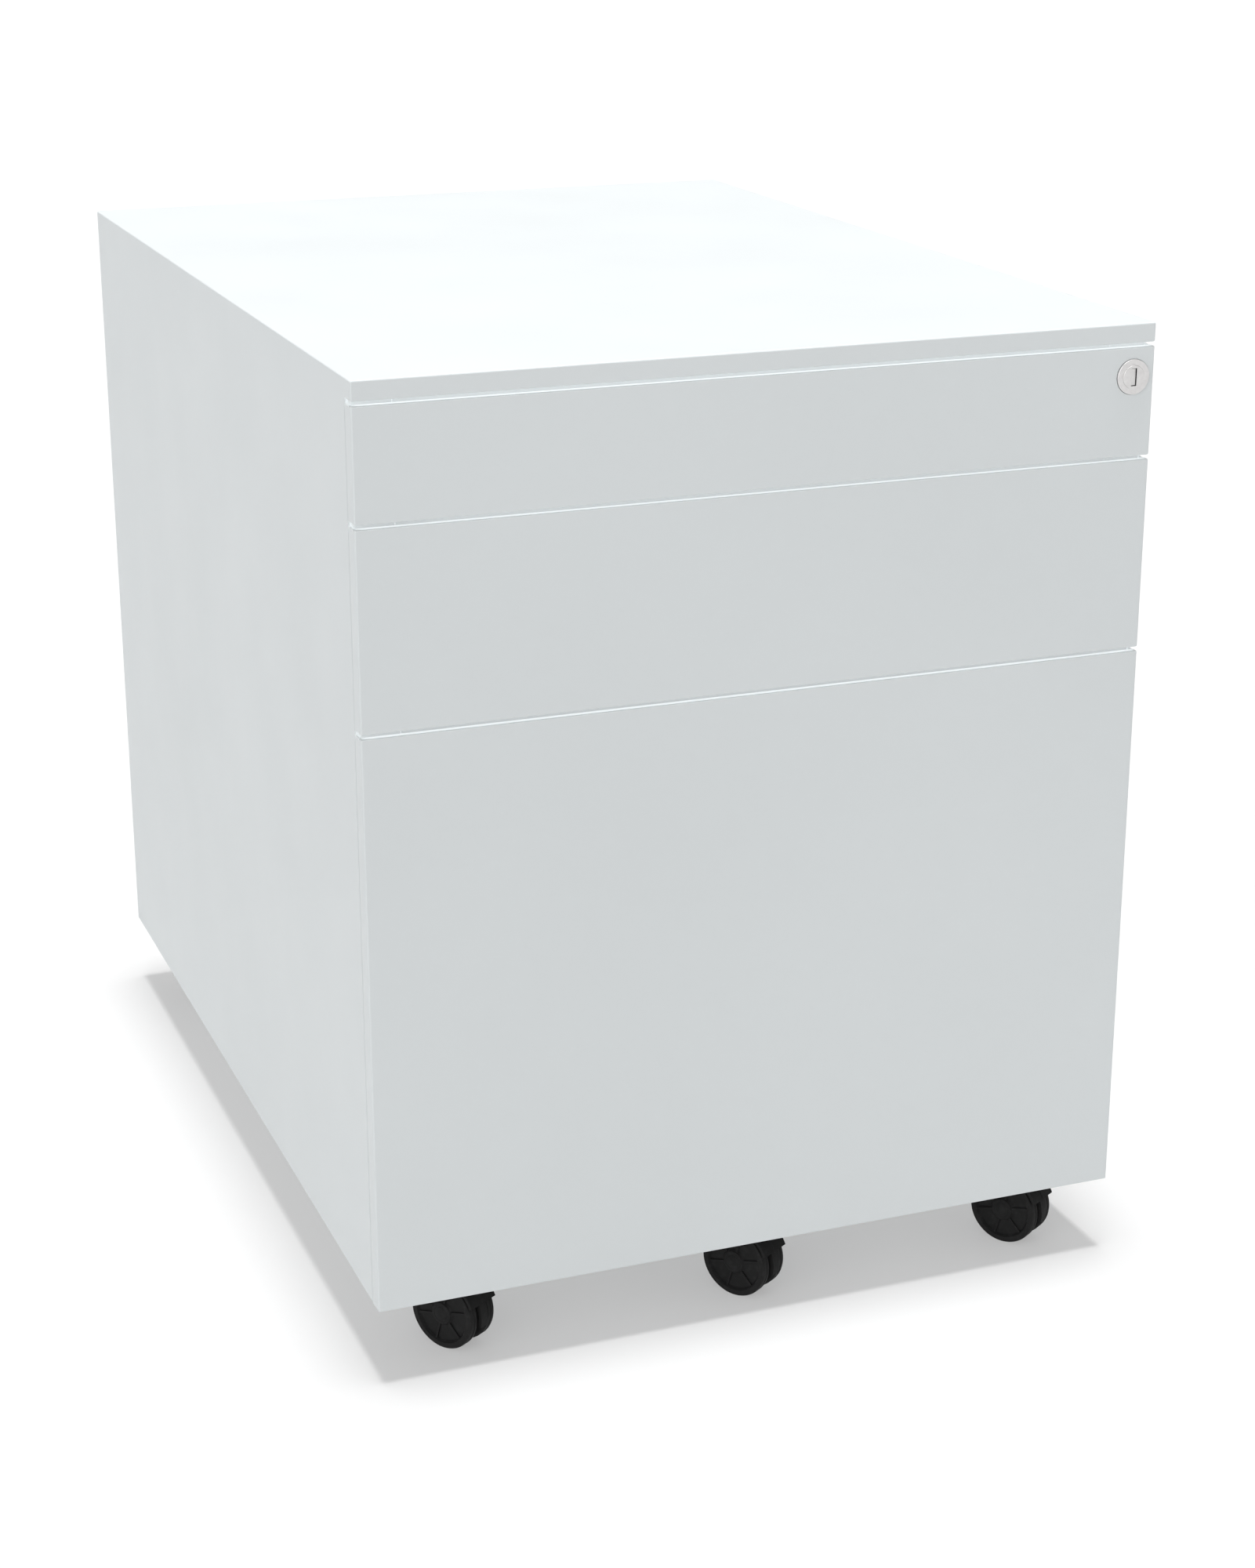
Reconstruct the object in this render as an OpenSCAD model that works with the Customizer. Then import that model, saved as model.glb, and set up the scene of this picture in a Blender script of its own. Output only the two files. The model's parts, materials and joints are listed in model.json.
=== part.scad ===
// Mobile pedestal filing cabinet: pen, box and file drawers behind plain fronts,
// a cylinder lock at the top right and five twin-wheel castors, one of them on the file drawer.
// All sizes in mm. Origin on the floor under the middle of the body, fronts face -Y, +Z is up.

/* [Body] */
// Width over the outer skins
body_w = 420; // [400:5:460]
// Depth from the drawer fronts to the back panel
body_d = 580; // [570:5:620]
// Height from the lower edge of the body to its top
body_h = 478; // [470:2:540]
// Height of the body's lower edge above the floor
clearance_h = 42; // [42:1:50]
// Thickness of the folded sheet steel
sheet = 1; // [0.8:0.1:1]

/* [Drawer fronts] */
// Height of the fixed strip above the top drawer
strip_h = 10; // [8:1:12]
// Open gap between neighbouring fronts
front_gap = 2; // [1.5:0.5:3]
// Height of the pen drawer front
pen_h = 56; // [56:2:70]
// Height of the box drawer front
box_h = 100; // [96:2:120]
// Depth of the returns at the sides of each front
side_return = 10; // [9:0.5:10]
// Depth of the returns along the top and bottom of each front
edge_return = 3.5; // [2:0.5:5]
// Width of the dark seam between the fronts and the side skins
seam = 1; // [0.8:0.1:1.5]

/* [Drawers] */
// Length of the drawer runners
runner_len = 500; // [480:5:520]
// Thickness of a pair of runners, from tray to post
runner_t = 13; // [13:0.5:14]
// Height of the sides of the file drawer tray
file_tray_h = 234; // [200:2:236]

/* [Lock] */
// Diameter of the lock face
lock_d = 18; // [18:0.5:19]
// Distance of the lock axis from the outer skin
lock_inset_x = 12; // [12:0.5:13]
// Distance of the lock axis below the top
lock_inset_z = 27; // [26:0.5:28]

/* [Castors] */
// Diameter of the castor wheels
wheel_d = 40; // [36:1:40]
// Tread width of one wheel
wheel_t = 6.5; // [5:0.5:8]
// Clear width between the two wheels of a castor
wheel_gap = 7; // [7:0.5:9]
// Distance of the wheel axle from the swivel axis
castor_trail = 6; // [4:0.5:8]
// Direction in which the castor axles stand at rest, from the width of the body
castor_turn = 33; // [0:1:90]
// Distance of the swivel axes from the side skins
castor_inset_x = 45.6; // [42:0.2:60]
// Distance of the swivel axes from the front and the back
castor_inset_y = 36; // [36:1:60]

/* [Hidden] */
$fn = 48;

LEFT = -1;
RIGHT = 1;

// Outer faces of the body
half_w = body_w / 2;
front_y = -body_d / 2;
back_y = body_d / 2;
low_z = clearance_h;
top_z = clearance_h + body_h;

// Lower and upper edges of the three fronts, stacked down from the strip
pen_hi = top_z - strip_h - front_gap;
pen_lo = pen_hi - pen_h;
box_hi = pen_lo - front_gap;
box_lo = box_hi - box_h;
file_hi = box_lo - front_gap;
file_lo = low_z;

// Side skins start behind the returns of the fronts
skin_y = front_y + side_return + seam;
inner_w = half_w - sheet;

// Front frame: posts at the sides and rails behind the gaps
frame_depth = 7.5;
frame_y = front_y + frame_depth;
rail_d = 20;
rail_half = 6;
post_w = 20.4;
post_web_d = 32;
post_side_gap = 0.6;
post_out = inner_w - post_side_gap;
post_in = post_out - post_w;
rear_post_y = back_y - 100;
rear_post_d = 32;
top_rail_lo = pen_hi - 8;
upper_rail_z = pen_lo - front_gap / 2;
lower_rail_z = box_lo - front_gap / 2;

// Base plate, lifted above the lower edge to make room for the castor boss
base_z = low_z + 16;
base_flange_h = 14;
base_notch_w = 92;
base_notch_d = 74;
base_top = base_z + sheet;

// Drawer trays pass between the posts and the rails
tray_half = post_in - runner_t;
tray_front_y = front_y + sheet;
tray_back_y = front_y + runner_len + 15;
tray_gap = 2.5;
pen_tray_lo = upper_rail_z + rail_half + tray_gap;
pen_tray_hi = top_rail_lo - tray_gap;
box_tray_lo = lower_rail_z + rail_half + tray_gap;
box_tray_hi = upper_rail_z - rail_half - tray_gap;
file_tray_lo = base_top + 7;
file_tray_hi = file_tray_lo + file_tray_h;
hem = 6;

// Runner sections: steel thickness, heights and the heights of their middles
runner_y = front_y + 14;
runner_steel = 1.2;
pen_runner_h = 24;
box_runner_h = 35;
file_runner_h = 45;
pen_runner_z = pen_tray_hi - 4 - pen_runner_h / 2;
box_runner_z = (box_tray_lo + box_tray_hi) / 2 + 3;
file_runner_z = file_tray_lo + 94;
slide_step = 8.8;
mid_step = 4.3;
screw_r = 2.2;

// Locking: catches on the trays, fingers on the bar below them
catch_h = 6;
catch_t = 2;
catch_reach = 11;
catch_play = 0.05;
finger_h = 8;
finger_drop = 2;
bar_y = front_y + 44;
bar_t = 3;
bar_in = half_w - 19;
bar_w = 14;
pen_catch_z = pen_tray_lo + 1;
box_catch_z = box_runner_z - box_runner_h / 2 - 13;
file_catch_z = file_runner_z + file_runner_h / 2 + 50;

// Lock cylinder
lock_x = half_w - lock_inset_x;
lock_z = top_z - lock_inset_z;
lock_proud = 1;
lock_back_y = front_y + 28;
lock_barrel_r = 8;
lock_hole_play = 0.4;
plug_r = 6;
tang_r = 3.5;
running_play = 0.05;
key_slot_w = 3;
key_slot_h = 9;
key_slot_depth = 10;
crank_r = 5.7;
crank_rest = -45;
crank_pin_r = 1.5;
cam_t = 3;
cam_r = 8.2;

// Castors
wheel_r = wheel_d / 2;
castor_half = wheel_gap / 2 + wheel_t;
axle_r = 2.5;
web_half = wheel_gap / 2 - 1;
hood_in = wheel_r + 1;
hood_out = hood_in + 1.8;
stud_r = 4;
boss_r = 8.5;
boss_top = base_z - 2.5;
mount_t = 2;
mount_half = 20;
castor_x = half_w - castor_inset_x;
castor_y = body_d / 2 - castor_inset_y;
// The castor under the file drawer stands a little nearer the front
castor_c_y = -castor_y - 2.7;

powder_coat = [0.83, 0.84, 0.84];
zinc = [0.66, 0.68, 0.70];
nickel = [0.78, 0.78, 0.77];
black_plastic = [0.10, 0.10, 0.10];
dark_plastic = [0.22, 0.23, 0.24];

// ---------- shared shapes ----------

// A block given by its lower and upper limits along X, Y and Z
module block(x, y, z) {
    translate([x[0], y[0], z[0]])
        cube([x[1] - x[0], y[1] - y[0], z[1] - z[0]]);
}

// Draws its children on the right, or mirrored on the left
module on_side(side) {
    mirror([side == LEFT ? 1 : 0, 0, 0])
        children();
}

// A cylinder along Y
module rod_y(r, y, x, z) {
    translate([x, y[0], z])
        rotate([-90, 0, 0])
            cylinder(r = r, h = y[1] - y[0]);
}

// A cylinder along X
module rod_x(r, x, y, z) {
    translate([x[0], y, z])
        rotate([0, 90, 0])
            cylinder(r = r, h = x[1] - x[0]);
}

// ---------- carcass ----------

// Top, both sides and the strip above the drawers, folded from one sheet
module wrapper() {
    color(powder_coat)
        difference() {
            union() {
                block([-half_w, half_w], [front_y, back_y], [top_z - sheet, top_z]);
                block([-half_w, half_w], [front_y, front_y + sheet], [top_z - strip_h, top_z]);
                block([-half_w, half_w], [front_y, frame_y], [top_z - strip_h, top_z - strip_h + sheet]);
                for (side = [LEFT, RIGHT])
                    on_side(side)
                        wrapper_side();
            }
            rod_y(lock_barrel_r + 0.5, [skin_y - 1, skin_y + 5], lock_x, lock_z);
        }
}

// One side skin with its front flange and its hem at the bottom
module wrapper_side() {
    block([inner_w, half_w], [skin_y, back_y], [low_z, top_z]);
    block([inner_w, half_w], [front_y, skin_y], [top_z - strip_h, top_z]);
    block([post_in + sheet, half_w], [skin_y, skin_y + sheet], [low_z, top_z]);
    block([inner_w - sheet, half_w], [skin_y, back_y], [low_z, low_z + 2]);
}

// Plain sheet with a stiffening fold along its lower and upper edges
module back_panel() {
    color(powder_coat) {
        block([-inner_w, inner_w], [back_y - sheet, back_y], [low_z + 2, top_z - sheet]);
        block([-inner_w + 1, inner_w - 1], [back_y - 15, back_y], [top_z - 2 * sheet, top_z - sheet]);
        block([-inner_w + 1, inner_w - 1], [back_y - 15, back_y], [low_z + 2, low_z + 2 + sheet]);
    }
}

// Floor of the body, flanged down all round and notched for the castor of the file drawer
module base_plate() {
    y0 = skin_y + sheet;
    y1 = back_y - 15;
    z0 = base_top - base_flange_h;
    color(powder_coat)
        difference() {
            union() {
                block([-inner_w, inner_w], [y0, y1], [base_z, base_top]);
                block([-inner_w + sheet, inner_w - sheet], [y0, y0 + sheet], [z0, base_top]);
                block([-inner_w + sheet, inner_w - sheet], [y1 - sheet, y1], [z0, base_top]);
                for (side = [LEFT, RIGHT])
                    on_side(side)
                        block([inner_w - sheet, inner_w], [y0, y1], [z0, base_top]);
            }
            block([-base_notch_w / 2, base_notch_w / 2], [y0 - 1, y0 + base_notch_d], [z0 - 1, base_top + 1]);
            for (x = [-castor_x, castor_x])
                for (y = [-castor_y, castor_y])
                    translate([x, y, base_z - 1])
                        cylinder(r = stud_r, h = 2 * sheet + 1);
        }
}

// Channel that stiffens the front edge of the side skin and carries the runners
module front_post(side) {
    z = [base_top, top_rail_lo + 10];
    on_side(side) {
        block([post_in, post_out], [frame_y, frame_y + sheet], z);
        block([post_out - sheet, post_out], [frame_y, skin_y], z);
        block([post_in, post_in + sheet], [frame_y, frame_y + post_web_d], z);
    }
}

module front_post_l() {
    color(powder_coat)
        front_post(LEFT);
}

// The right post also holds the lock and guides the locking bar
module front_post_r() {
    color(powder_coat) {
        difference() {
            front_post(RIGHT);
            rod_y(lock_barrel_r, [frame_y - 1, frame_y + 3], lock_x, lock_z);
        }
        for (z = [box_lo - 40, box_hi - 25])
            bar_guide(z);
    }
}

// Bent tab that keeps the locking bar upright
module bar_guide(z) {
    y_web = frame_y + post_web_d;
    y_back = bar_y + bar_t + 0.6;
    block([post_in, post_in + sheet], [y_web - 6, y_back + sheet], [z, z + 10]);
    block([post_in, bar_in + bar_w], [y_back, y_back + sheet], [z, z + 10]);
}

// Angle at the back of the side skin that carries the rear ends of the runners
module rear_post(side) {
    z = [base_top, top_z - sheet];
    color(powder_coat)
        on_side(side) {
            block([post_in, post_in + sheet], [rear_post_y, rear_post_y + rear_post_d], z);
            block([post_in, inner_w], [rear_post_y + rear_post_d - sheet, rear_post_y + rear_post_d], z);
            block([inner_w - sheet, inner_w], [rear_post_y + rear_post_d - sheet, rear_post_y + rear_post_d + 12], z);
        }
}

module rear_post_l() {
    rear_post(LEFT);
}

module rear_post_r() {
    rear_post(RIGHT);
}

// Channel that opens to the back, between the posts
module cross_rail(z0, z1) {
    color(powder_coat) {
        block([-post_in, post_in], [frame_y, frame_y + sheet], [z0, z1]);
        block([-post_in, post_in], [frame_y, frame_y + rail_d], [z0, z0 + sheet]);
        block([-post_in, post_in], [frame_y, frame_y + rail_d], [z1 - sheet, z1]);
    }
}

module rail_top() {
    cross_rail(top_rail_lo, top_z - sheet);
}

module rail_upper() {
    cross_rail(upper_rail_z - rail_half, upper_rail_z + rail_half);
}

module rail_lower() {
    cross_rail(lower_rail_z - rail_half, lower_rail_z + rail_half);
}

// ---------- runners ----------

// Steel channel along Y whose web stands at x_web and whose flanges reach to x_lip
module channel(x_web, x_lip, h, z) {
    inward = x_lip < x_web;
    web = inward ? [x_web - runner_steel, x_web] : [x_web, x_web + runner_steel];
    reach = inward ? [x_lip, x_web] : [x_web, x_lip];
    y = [runner_y, runner_y + runner_len];
    color(zinc)
        difference() {
            union() {
                block(web, y, [z - h / 2, z + h / 2]);
                block(reach, y, [z - h / 2, z - h / 2 + runner_steel]);
                block(reach, y, [z + h / 2 - runner_steel, z + h / 2]);
            }
            for (hole_y = [20, 100, runner_len - 100, runner_len - 20])
                rod_x(screw_r, [web[0] - 1, web[1] + 1], runner_y + hole_y, z);
        }
}

// Member on the post
module runner_fixed(side, h, z) {
    on_side(side)
        channel(post_in, post_in - 10, h, z);
}

// Member on the tray
module runner_slide(side, h, z) {
    on_side(side)
        channel(tray_half, tray_half + 8, h, z);
}

// Floating member of the long runner
module runner_mid(side, h, z) {
    on_side(side)
        channel(post_in - runner_steel - 1.2, tray_half + 2.5, h, z);
}

module pen_runner_fixed_l() {
    runner_fixed(LEFT, pen_runner_h, pen_runner_z);
}

module pen_runner_fixed_r() {
    runner_fixed(RIGHT, pen_runner_h, pen_runner_z);
}

module pen_runner_slide_l() {
    runner_slide(LEFT, pen_runner_h - slide_step, pen_runner_z);
}

module pen_runner_slide_r() {
    runner_slide(RIGHT, pen_runner_h - slide_step, pen_runner_z);
}

module box_runner_fixed_l() {
    runner_fixed(LEFT, box_runner_h, box_runner_z);
}

module box_runner_fixed_r() {
    runner_fixed(RIGHT, box_runner_h, box_runner_z);
}

module box_runner_slide_l() {
    runner_slide(LEFT, box_runner_h - slide_step, box_runner_z);
}

module box_runner_slide_r() {
    runner_slide(RIGHT, box_runner_h - slide_step, box_runner_z);
}

module file_runner_fixed_l() {
    runner_fixed(LEFT, file_runner_h, file_runner_z);
}

module file_runner_fixed_r() {
    runner_fixed(RIGHT, file_runner_h, file_runner_z);
}

module file_runner_mid_l() {
    runner_mid(LEFT, file_runner_h - 2 * mid_step, file_runner_z);
}

module file_runner_mid_r() {
    runner_mid(RIGHT, file_runner_h - 2 * mid_step, file_runner_z);
}

module file_runner_slide_l() {
    runner_slide(LEFT, file_runner_h - 2 * slide_step, file_runner_z);
}

module file_runner_slide_r() {
    runner_slide(RIGHT, file_runner_h - 2 * slide_step, file_runner_z);
}

// ---------- drawers ----------

// Front folded from one sheet: deep returns at the sides, shallow ones along the top and bottom
module front_pan(z0, z1) {
    block([-half_w, half_w], [front_y, front_y + sheet], [z0, z1]);
    block([-half_w, half_w], [front_y, front_y + edge_return], [z0, z0 + sheet]);
    block([-half_w, half_w], [front_y, front_y + edge_return], [z1 - sheet, z1]);
    for (side = [LEFT, RIGHT])
        on_side(side)
            block([inner_w, half_w], [front_y, front_y + side_return], [z0, z1]);
}

// Open box with hems along the sides and a locking catch on its right side
module tray(z0, z1, catch_z) {
    y = [tray_front_y, tray_back_y];
    block([-tray_half, tray_half], y, [z0, z0 + sheet]);
    block([-tray_half, tray_half], [y[0], y[0] + sheet], [z0, z1]);
    block([-tray_half, tray_half], [y[1] - sheet, y[1]], [z0, z1]);
    for (side = [LEFT, RIGHT])
        on_side(side) {
            block([tray_half - sheet, tray_half], y, [z0, z1]);
            block([tray_half - hem, tray_half], y, [z1 - sheet, z1]);
        }
    // The catch is a piece of its own, riveted on with a hairline of play
    block([tray_half + catch_play, tray_half + catch_reach], [bar_y + bar_t + 1, bar_y + bar_t + 1 + catch_t],
        [catch_z, catch_z + catch_h]);
}

// The pen drawer front slides over the lock face
module pen_front() {
    color(powder_coat)
        difference() {
            front_pan(pen_lo, pen_hi);
            rod_y(lock_d / 2 + lock_hole_play, [front_y - 1, front_y + 3], lock_x, lock_z);
        }
}

module box_front() {
    color(powder_coat)
        front_pan(box_lo, box_hi);
}

module file_front() {
    color(powder_coat)
        front_pan(file_lo, file_hi);
}

module pen_tray() {
    color(powder_coat)
        tray(pen_tray_lo, pen_tray_hi, pen_catch_z);
}

module box_tray() {
    color(powder_coat)
        tray(box_tray_lo, box_tray_hi, box_catch_z);
}

module file_tray() {
    color(powder_coat)
        tray(file_tray_lo, file_tray_hi, file_catch_z);
}

// Moulded pen tray with a cross compartment and three long ones
module pen_insert() {
    wall = 2;
    x = [-tray_half + hem + 1, tray_half - hem - 1];
    y = [tray_front_y + sheet + 1, tray_front_y + 230];
    z = [pen_tray_lo + sheet, pen_tray_lo + 24];
    long_y = y[0] + 80;
    lane = (x[1] - x[0] - wall) / 3;
    color(dark_plastic)
        difference() {
            block(x, y, z);
            block([x[0] + wall, x[1] - wall], [y[0] + wall, long_y - wall], [z[0] + wall, z[1] + 1]);
            for (i = [0:2])
                block([x[0] + i * lane + wall, x[0] + (i + 1) * lane], [long_y, y[1] - wall],
                    [z[0] + wall, z[1] + 1]);
        }
}

// Loose upright plate with a foot, across the box drawer
module box_divider() {
    x = [-tray_half + hem + 1, tray_half - hem - 1];
    y0 = front_y + body_d * 0.48;
    z0 = box_tray_lo + sheet;
    color(powder_coat) {
        block(x, [y0, y0 + sheet], [z0, box_tray_hi - 8]);
        block(x, [y0, y0 + 25], [z0, z0 + sheet]);
    }
}

// Hanging-file rail hooked over a side of the file tray
module file_rail(side) {
    y = [tray_front_y + sheet + 2, tray_back_y - sheet - 2];
    rail_x = tray_half - hem - 2;
    color(zinc)
        on_side(side) {
            block([rail_x - 2, rail_x], y, [file_tray_hi - 12, file_tray_hi + 14]);
            block([rail_x - 2, tray_half], y, [file_tray_hi, file_tray_hi + 1.5]);
        }
}

module file_rail_l() {
    file_rail(LEFT);
}

module file_rail_r() {
    file_rail(RIGHT);
}

// Bent strap under the file tray that holds the stud of the middle castor
module file_castor_bracket() {
    half = 24;
    y0 = castor_c_y - 20;
    y1 = castor_c_y + 24;
    z0 = base_z - mount_t;
    color(zinc) {
        block([-half, half], [y0, y1], [z0, z0 + mount_t]);
        block([-half, half], [y0, y0 + mount_t], [z0, file_tray_lo]);
        block([-half, half], [y1 - mount_t, y1], [z0, file_tray_lo]);
        block([-half, half], [y1 - mount_t, y1 + 24], [file_tray_lo - mount_t, file_tray_lo]);
        translate([0, castor_c_y, 0])
            stud(z0 + mount_t + 3.5);
    }
}

// ---------- lock ----------

module lock_housing() {
    color(nickel)
        difference() {
            union() {
                rod_y(lock_d / 2, [front_y - lock_proud, frame_y], lock_x, lock_z);
                rod_y(lock_barrel_r, [front_y, lock_back_y], lock_x, lock_z);
            }
            rod_y(plug_r + running_play, [front_y - 5, lock_back_y + 1], lock_x, lock_z);
        }
}

// Turning core with the key slot, upright when the drawers are free
module lock_plug() {
    y = [front_y - lock_proud - 0.3, lock_back_y + cam_t + 1.5];
    color(nickel)
        difference() {
            union() {
                rod_y(plug_r, [y[0], lock_back_y + 1], lock_x, lock_z);
                rod_y(tang_r, y, lock_x, lock_z);
            }
            block([lock_x - key_slot_w / 2, lock_x + key_slot_w / 2], [y[0] - 1, y[0] + key_slot_depth],
                [lock_z - key_slot_h / 2, lock_z + key_slot_h / 2]);
        }
}

// Disc behind the barrel whose pin lifts the locking bar
module lock_cam() {
    y = [lock_back_y + 1, lock_back_y + 1 + cam_t];
    pin_x = lock_x - crank_r * cos(crank_rest);
    pin_z = lock_z + crank_r * sin(crank_rest);
    color(zinc)
        difference() {
            union() {
                rod_y(cam_r, y, lock_x, lock_z);
                rod_y(crank_pin_r, [y[0], bar_y + bar_t + 1], pin_x, pin_z);
            }
            rod_y(tang_r, [y[0] - 1, y[1] + 1], lock_x, lock_z);
        }
}

// Upright bar with one finger below each catch and a slot for the pin of the cam
module lock_bar() {
    y = [bar_y, bar_y + bar_t];
    pin_z = lock_z + crank_r * sin(crank_rest);
    slot_half = crank_pin_r + 0.5;
    head_in = post_in + 0.4;
    bar_lo = file_catch_z - 20;
    color(zinc)
        difference() {
            union() {
                block([bar_in, bar_in + bar_w], y, [bar_lo, pin_z]);
                block([head_in, bar_in + bar_w], y, [pin_z - 7, pin_z + 5]);
                for (z = [pen_catch_z, box_catch_z, file_catch_z])
                    block([tray_half + 2, bar_in + 1], y, [z - finger_drop - finger_h, z - finger_drop]);
            }
            block([lock_x - crank_r - crank_pin_r - 0.6, lock_x - 1], [y[0] - 1, y[1] + 1],
                [pin_z - slot_half, pin_z + slot_half]);
        }
}

// ---------- castors ----------

// Threaded stud with a shoulder nut, standing on the swivel axis
module stud(nut_top) {
    translate([0, 0, boss_top - 10])
        cylinder(r = stud_r, h = nut_top - boss_top + 12);
    translate([0, 0, nut_top - 3.5])
        cylinder(r = 6.5, h = 3.5);
}

// Plates and studs of the four corner castors
module castor_mounts() {
    color(zinc)
        for (x = [-castor_x, castor_x])
            for (y = [-castor_y, castor_y])
                translate([x, y, 0]) {
                    block([-mount_half, mount_half], [-mount_half, mount_half], [base_z - mount_t, base_z]);
                    for (rx = [-14, 14])
                        for (ry = [-14, 14])
                            translate([rx, ry, base_z - mount_t - 1])
                                cylinder(r = 3, h = 1);
                    stud(base_top + 3.5);
                }
}

// Moves its children from the castor's own frame to a swivel axis at x, y.
// In the castor's frame the axle lies along X and the swivel axis is behind it.
module at_castor(x, y) {
    translate([x, y, 0])
        rotate([0, 0, castor_turn])
            translate([0, -castor_trail, 0])
                children();
}

// Web between the wheels, hood over them and boss for the stud
module castor_fork() {
    color(black_plastic)
        difference() {
            union() {
                intersection() {
                    rod_x(hood_in + 0.5, [-web_half, web_half], 0, wheel_r);
                    block([-web_half, web_half], [-hood_out, hood_out], [wheel_r - 5, wheel_r + hood_out]);
                }
                rod_x(9, [-web_half, web_half], 0, wheel_r);
                castor_hood();
                translate([0, castor_trail, wheel_r + hood_in - 0.5])
                    cylinder(r = boss_r, h = boss_top - wheel_r - hood_in + 0.5);
            }
            rod_x(axle_r, [-web_half - 1, web_half + 1], 0, wheel_r);
            translate([0, castor_trail, boss_top - 11])
                cylinder(r = stud_r + running_play, h = 12);
        }
}

// Arched cover over the upper third of both wheels
module castor_hood() {
    difference() {
        rod_x(hood_out, [-castor_half, castor_half], 0, wheel_r);
        rod_x(hood_in, [-castor_half - 1, castor_half + 1], 0, wheel_r);
        block([-castor_half - 1, castor_half + 1], [-hood_out - 1, hood_out + 1], [-5, wheel_r + 9]);
    }
}

// Steel pin through the web with a head outside each wheel
module castor_axle() {
    head = [castor_half + 0.4, castor_half + 1.4];
    color(zinc) {
        rod_x(axle_r, [-head[1], head[1]], 0, wheel_r);
        rod_x(axle_r + 1.2, head, 0, wheel_r);
        rod_x(axle_r + 1.2, [-head[1], -head[0]], 0, wheel_r);
    }
}

// Wheel with a rounded tread, a dished outer face and a hub
module castor_wheel(side) {
    edge = 1.2;
    dish = 1.5;
    color(black_plastic)
        on_side(side)
            translate([wheel_gap / 2, 0, wheel_r])
                rotate([0, 90, 0])
                    difference() {
                        union() {
                            translate([0, 0, edge])
                                cylinder(r = wheel_r, h = wheel_t - 2 * edge);
                            cylinder(r = wheel_r - edge, h = wheel_t);
                            for (z = [edge, wheel_t - edge])
                                translate([0, 0, z])
                                    rotate_extrude()
                                        translate([wheel_r - edge, 0])
                                            circle(r = edge, $fn = 24);
                        }
                        translate([0, 0, wheel_t - dish])
                            difference() {
                                cylinder(r = wheel_r - 4, h = dish + 1);
                                translate([0, 0, -1])
                                    cylinder(r = 6, h = dish + 3);
                            }
                        translate([0, 0, -1])
                            cylinder(r = axle_r + running_play, h = wheel_t + 2);
                    }
}

module castor_fl_fork() {
    at_castor(-castor_x, -castor_y)
        castor_fork();
}

module castor_fl_axle() {
    at_castor(-castor_x, -castor_y)
        castor_axle();
}

module castor_fl_wheel_l() {
    at_castor(-castor_x, -castor_y)
        castor_wheel(LEFT);
}

module castor_fl_wheel_r() {
    at_castor(-castor_x, -castor_y)
        castor_wheel(RIGHT);
}

module castor_fr_fork() {
    at_castor(castor_x, -castor_y)
        castor_fork();
}

module castor_fr_axle() {
    at_castor(castor_x, -castor_y)
        castor_axle();
}

module castor_fr_wheel_l() {
    at_castor(castor_x, -castor_y)
        castor_wheel(LEFT);
}

module castor_fr_wheel_r() {
    at_castor(castor_x, -castor_y)
        castor_wheel(RIGHT);
}

module castor_rl_fork() {
    at_castor(-castor_x, castor_y)
        castor_fork();
}

module castor_rl_axle() {
    at_castor(-castor_x, castor_y)
        castor_axle();
}

module castor_rl_wheel_l() {
    at_castor(-castor_x, castor_y)
        castor_wheel(LEFT);
}

module castor_rl_wheel_r() {
    at_castor(-castor_x, castor_y)
        castor_wheel(RIGHT);
}

module castor_rr_fork() {
    at_castor(castor_x, castor_y)
        castor_fork();
}

module castor_rr_axle() {
    at_castor(castor_x, castor_y)
        castor_axle();
}

module castor_rr_wheel_l() {
    at_castor(castor_x, castor_y)
        castor_wheel(LEFT);
}

module castor_rr_wheel_r() {
    at_castor(castor_x, castor_y)
        castor_wheel(RIGHT);
}

module castor_c_fork() {
    at_castor(0, castor_c_y)
        castor_fork();
}

module castor_c_axle() {
    at_castor(0, castor_c_y)
        castor_axle();
}

module castor_c_wheel_l() {
    at_castor(0, castor_c_y)
        castor_wheel(LEFT);
}

module castor_c_wheel_r() {
    at_castor(0, castor_c_y)
        castor_wheel(RIGHT);
}

// ---------- drawing ----------

wrapper();
back_panel();
base_plate();
front_post_l();
front_post_r();
rear_post_l();
rear_post_r();
rail_top();
rail_upper();
rail_lower();
pen_runner_fixed_l();
pen_runner_fixed_r();
box_runner_fixed_l();
box_runner_fixed_r();
file_runner_fixed_l();
file_runner_fixed_r();
lock_housing();
castor_mounts();
pen_front();
pen_tray();
pen_runner_slide_l();
pen_runner_slide_r();
pen_insert();
box_front();
box_tray();
box_runner_slide_l();
box_runner_slide_r();
box_divider();
file_front();
file_tray();
file_runner_slide_l();
file_runner_slide_r();
file_runner_mid_l();
file_runner_mid_r();
file_rail_l();
file_rail_r();
file_castor_bracket();
lock_plug();
lock_cam();
lock_bar();
castor_fl_fork();
castor_fl_axle();
castor_fl_wheel_l();
castor_fl_wheel_r();
castor_fr_fork();
castor_fr_axle();
castor_fr_wheel_l();
castor_fr_wheel_r();
castor_rl_fork();
castor_rl_axle();
castor_rl_wheel_l();
castor_rl_wheel_r();
castor_rr_fork();
castor_rr_axle();
castor_rr_wheel_l();
castor_rr_wheel_r();
castor_c_fork();
castor_c_axle();
castor_c_wheel_l();
castor_c_wheel_r();
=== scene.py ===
import json
import math

import bmesh
import bpy
from mathutils import Matrix, Vector


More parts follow.
